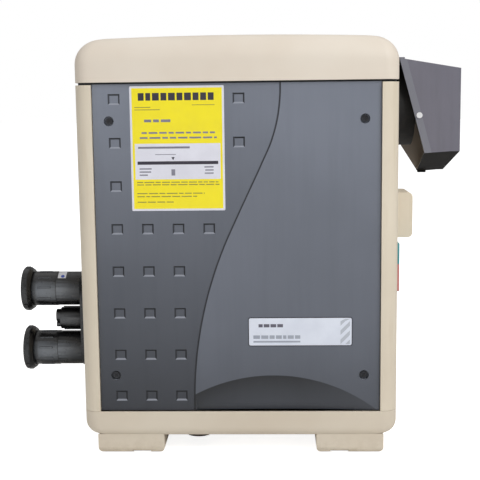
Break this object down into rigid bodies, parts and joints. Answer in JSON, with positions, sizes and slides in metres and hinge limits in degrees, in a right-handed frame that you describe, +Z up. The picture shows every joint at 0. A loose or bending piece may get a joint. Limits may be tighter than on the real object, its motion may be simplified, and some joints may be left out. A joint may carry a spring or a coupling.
{
  "type": "gas pool heater",
  "caption": "Gas-fired pool and spa water heater: beige cabinet with a dark embossed front, side flue hood, two water unions and feet.",
  "frame": {"origin": "floor plane, centre of the four anchor holes in the feet", "axes": "+Z up, -Y towards the front panel, +X towards the flue hood on the right"},
  "size_m": [0.8433, 0.7112, 0.7124],
  "materials": {
    "cover_beige": "satin moulded beige plastic",
    "base_beige": "satin moulded beige plastic",
    "panel_beige": "beige powder coat",
    "panel_grey": "satin grey powder coat",
    "dark_screws": "blackened steel",
    "bright_screws": "zinc plated steel",
    "galvanised": "galvanised sheet",
    "nameplate_silver": "silver foil plate",
    "label_yellow": "yellow printed label",
    "label_teal": "teal printed label",
    "black_plastic": "black moulded plastic",
    "union_plastic": "dark grey moulded plastic",
    "control_black": "black moulded plastic",
    "display_glass": "green-grey window",
    "board_green": "green circuit board",
    "button_grey": "light grey key",
    "button_red": "red key",
    "collar_black": "matt black paint",
    "hood_grey": "satin grey powder coat",
    "copper": "oxidised copper",
    "cast_alloy": "cast aluminium",
    "motor_black": "black paint",
    "impeller_grey": "dark grey plastic",
    "pipe_black": "black iron pipe",
    "brass": "machined brass",
    "knob_blue": "dark blue plastic",
    "igniter_ceramic": "white ceramic",
    "switch_grey": "dark grey plastic",
    "transformer_brown": "varnished steel",
    "lead_black": "black sheath",
    "drain_brown": "dark brown plastic"
  },
  "bodies": {
    "cabinet": {"base_tray": "base_beige", "foot_front_left": "base_beige", "foot_front_right": "base_beige", "foot_rear_left": "base_beige", "foot_rear_right": "base_beige", "base_drain": "drain_brown", "cabinet_frame": "galvanised", "side_panel_left": "panel_beige", "side_panel_right": "panel_beige", "rear_panel": "panel_grey", "rear_screws": "dark_screws", "flue_collar": "collar_black", "exhaust_hood": "hood_grey", "hood_screws": "bright_screws", "flue_duct": "galvanised", "water_header": "black_plastic", "header_bolts": "bright_screws", "bypass_cap": "black_plastic", "union_body_high": "union_plastic", "union_body_low": "union_plastic", "tailpiece_high": "black_plastic", "tailpiece_low": "black_plastic", "chamber_stand": "galvanised", "combustion_chamber": "galvanised", "chamber_lid": "galvanised", "lid_bolts": "bright_screws", "heat_exchanger": "copper", "burner": "galvanised", "blower_housing": "cast_alloy", "blower_motor": "motor_black", "air_mixer": "cast_alloy", "gas_valve": "cast_alloy", "gas_pipe": "pipe_black", "gas_inlet": "brass", "igniter": "igniter_ceramic", "pressure_switch": "switch_grey", "transformer": "transformer_brown", "power_lead": "lead_black", "junction_box": "panel_beige", "label_pad": "label_teal"},
    "front_panel": {"front_panel": "panel_grey", "front_screws": "dark_screws", "nameplate": "nameplate_silver", "warning_label": "label_yellow"},
    "top_cover": {"top_cover": "cover_beige", "control_bezel": "control_black", "display_window": "display_glass", "control_board": "board_green", "cover_hinge_pin": "dark_screws"},
    "control_cover": {"control_cover": "cover_beige"},
    "button_1": {"button_1": "button_grey"},
    "button_2": {"button_2": "button_grey"},
    "button_3": {"button_3": "button_grey"},
    "button_4": {"button_4": "button_grey"},
    "button_5": {"button_5": "button_grey"},
    "button_6": {"button_6": "button_red"},
    "union_nut_high": {"union_nut_high": "black_plastic"},
    "union_nut_low": {"union_nut_low": "black_plastic"},
    "impeller": {"impeller": "impeller_grey"},
    "gas_knob": {"gas_knob": "knob_blue"}
  },
  "joints": [
    {"name": "front_panel_off", "type": "slide", "parent": "cabinet", "child": "front_panel", "axis": [0, -1, 0], "range_m": [0, 0.25]},
    {"name": "top_cover_lift", "type": "slide", "parent": "cabinet", "child": "top_cover", "axis": [0, 0, 1], "range_m": [0, 0.12]},
    {"name": "control_cover_hinge", "type": "hinge", "parent": "top_cover", "child": "control_cover", "pos_m": [0, -0.079, 0.709], "axis": [-1, 0, 0], "range_deg": [0, 105]},
    {"name": "button_1_press", "type": "slide", "parent": "top_cover", "child": "button_1", "axis": [0, 0, -1], "range_m": [0, 0.0012], "stiffness_N_per_m": 400, "springref_m": -0.0005},
    {"name": "button_2_press", "type": "slide", "parent": "top_cover", "child": "button_2", "axis": [0, 0, -1], "range_m": [0, 0.0012], "stiffness_N_per_m": 400, "springref_m": -0.0005},
    {"name": "button_3_press", "type": "slide", "parent": "top_cover", "child": "button_3", "axis": [0, 0, -1], "range_m": [0, 0.0012], "stiffness_N_per_m": 400, "springref_m": -0.0005},
    {"name": "button_4_press", "type": "slide", "parent": "top_cover", "child": "button_4", "axis": [0, 0, -1], "range_m": [0, 0.0012], "stiffness_N_per_m": 400, "springref_m": -0.0005},
    {"name": "button_5_press", "type": "slide", "parent": "top_cover", "child": "button_5", "axis": [0, 0, -1], "range_m": [0, 0.0012], "stiffness_N_per_m": 400, "springref_m": -0.0005},
    {"name": "button_6_press", "type": "slide", "parent": "top_cover", "child": "button_6", "axis": [0, 0, -1], "range_m": [0, 0.0012], "stiffness_N_per_m": 400, "springref_m": -0.0005},
    {"name": "union_nut_high_turn", "type": "hinge", "parent": "cabinet", "child": "union_nut_high", "pos_m": [-0.427, -0.045, 0.2325], "axis": [-1, 0, 0], "continuous": true},
    {"name": "union_nut_low_turn", "type": "hinge", "parent": "cabinet", "child": "union_nut_low", "pos_m": [-0.427, -0.045, 0.1125], "axis": [-1, 0, 0], "continuous": true},
    {"name": "impeller_spin", "type": "hinge", "parent": "cabinet", "child": "impeller", "pos_m": [-0.02, -0.03, 0.5], "axis": [0, 0, 1], "continuous": true},
    {"name": "gas_knob_turn", "type": "hinge", "parent": "cabinet", "child": "gas_knob", "pos_m": [0.124, 0.176, 0.464], "axis": [0, 0, 1], "range_deg": [0, 90]}
  ]
}
